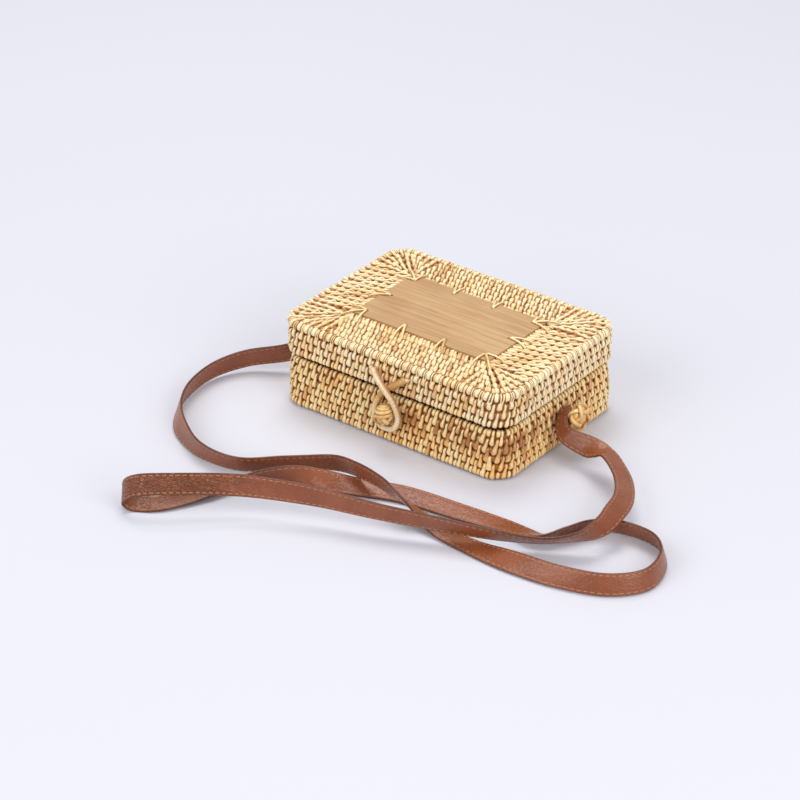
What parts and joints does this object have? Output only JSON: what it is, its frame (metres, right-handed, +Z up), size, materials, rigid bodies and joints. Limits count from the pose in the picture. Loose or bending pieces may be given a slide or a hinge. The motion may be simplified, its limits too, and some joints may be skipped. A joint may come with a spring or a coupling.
{
  "type": "basket box bag",
  "caption": "Box bag of coil-woven rattan with a hinged lid, a wooden panel laced into the lid, a loop-and-knot clasp and a leather shoulder strap.",
  "frame": {"origin": "middle of the base's flat underside, on the surface the bag stands on", "axes": "+X to the right along the long side, -Y out of the front wall with the clasp, +Z up"},
  "size_m": [0.4115, 0.3369, 0.0732],
  "materials": {
    "rattan_base": "lacquered rattan strands, satin",
    "rattan_lid": "lacquered rattan strands, satin",
    "panel_wood": "pale wood, satin, grain along the long side",
    "rattan_lacing": "rattan strand, satin",
    "rattan_loop": "pale wrapped rattan, satin",
    "rattan_knot": "amber rattan strands, lacquered",
    "strap_leather": "brown grained leather, edge-stitched, satin"
  },
  "bodies": {
    "base": {"base_basket": "rattan_base", "clasp_knot": "rattan_knot", "strap_knot_left": "rattan_knot", "strap_knot_right": "rattan_knot", "hinge_ring_left": "rattan_lacing", "hinge_ring_right": "rattan_lacing", "strap": "strap_leather"},
    "lid": {"lid_basket": "rattan_lid", "lid_panel": "panel_wood", "panel_lacing": "rattan_lacing"},
    "clasp": {"clasp_loop": "rattan_loop"}
  },
  "joints": [
    {"name": "lid_hinge", "type": "hinge", "parent": "base", "child": "lid", "pos_m": [0, 0.0725, 0.04185], "axis": [-1, 0, 0], "range_deg": [0, 110], "deforming": ["clasp_loop"]},
    {"name": "clasp_swing", "type": "hinge", "parent": "lid", "child": "clasp", "pos_m": [0.002, -0.07355, 0.0575], "axis": [-1, 0, 0], "range_deg": [0, 90]}
  ]
}
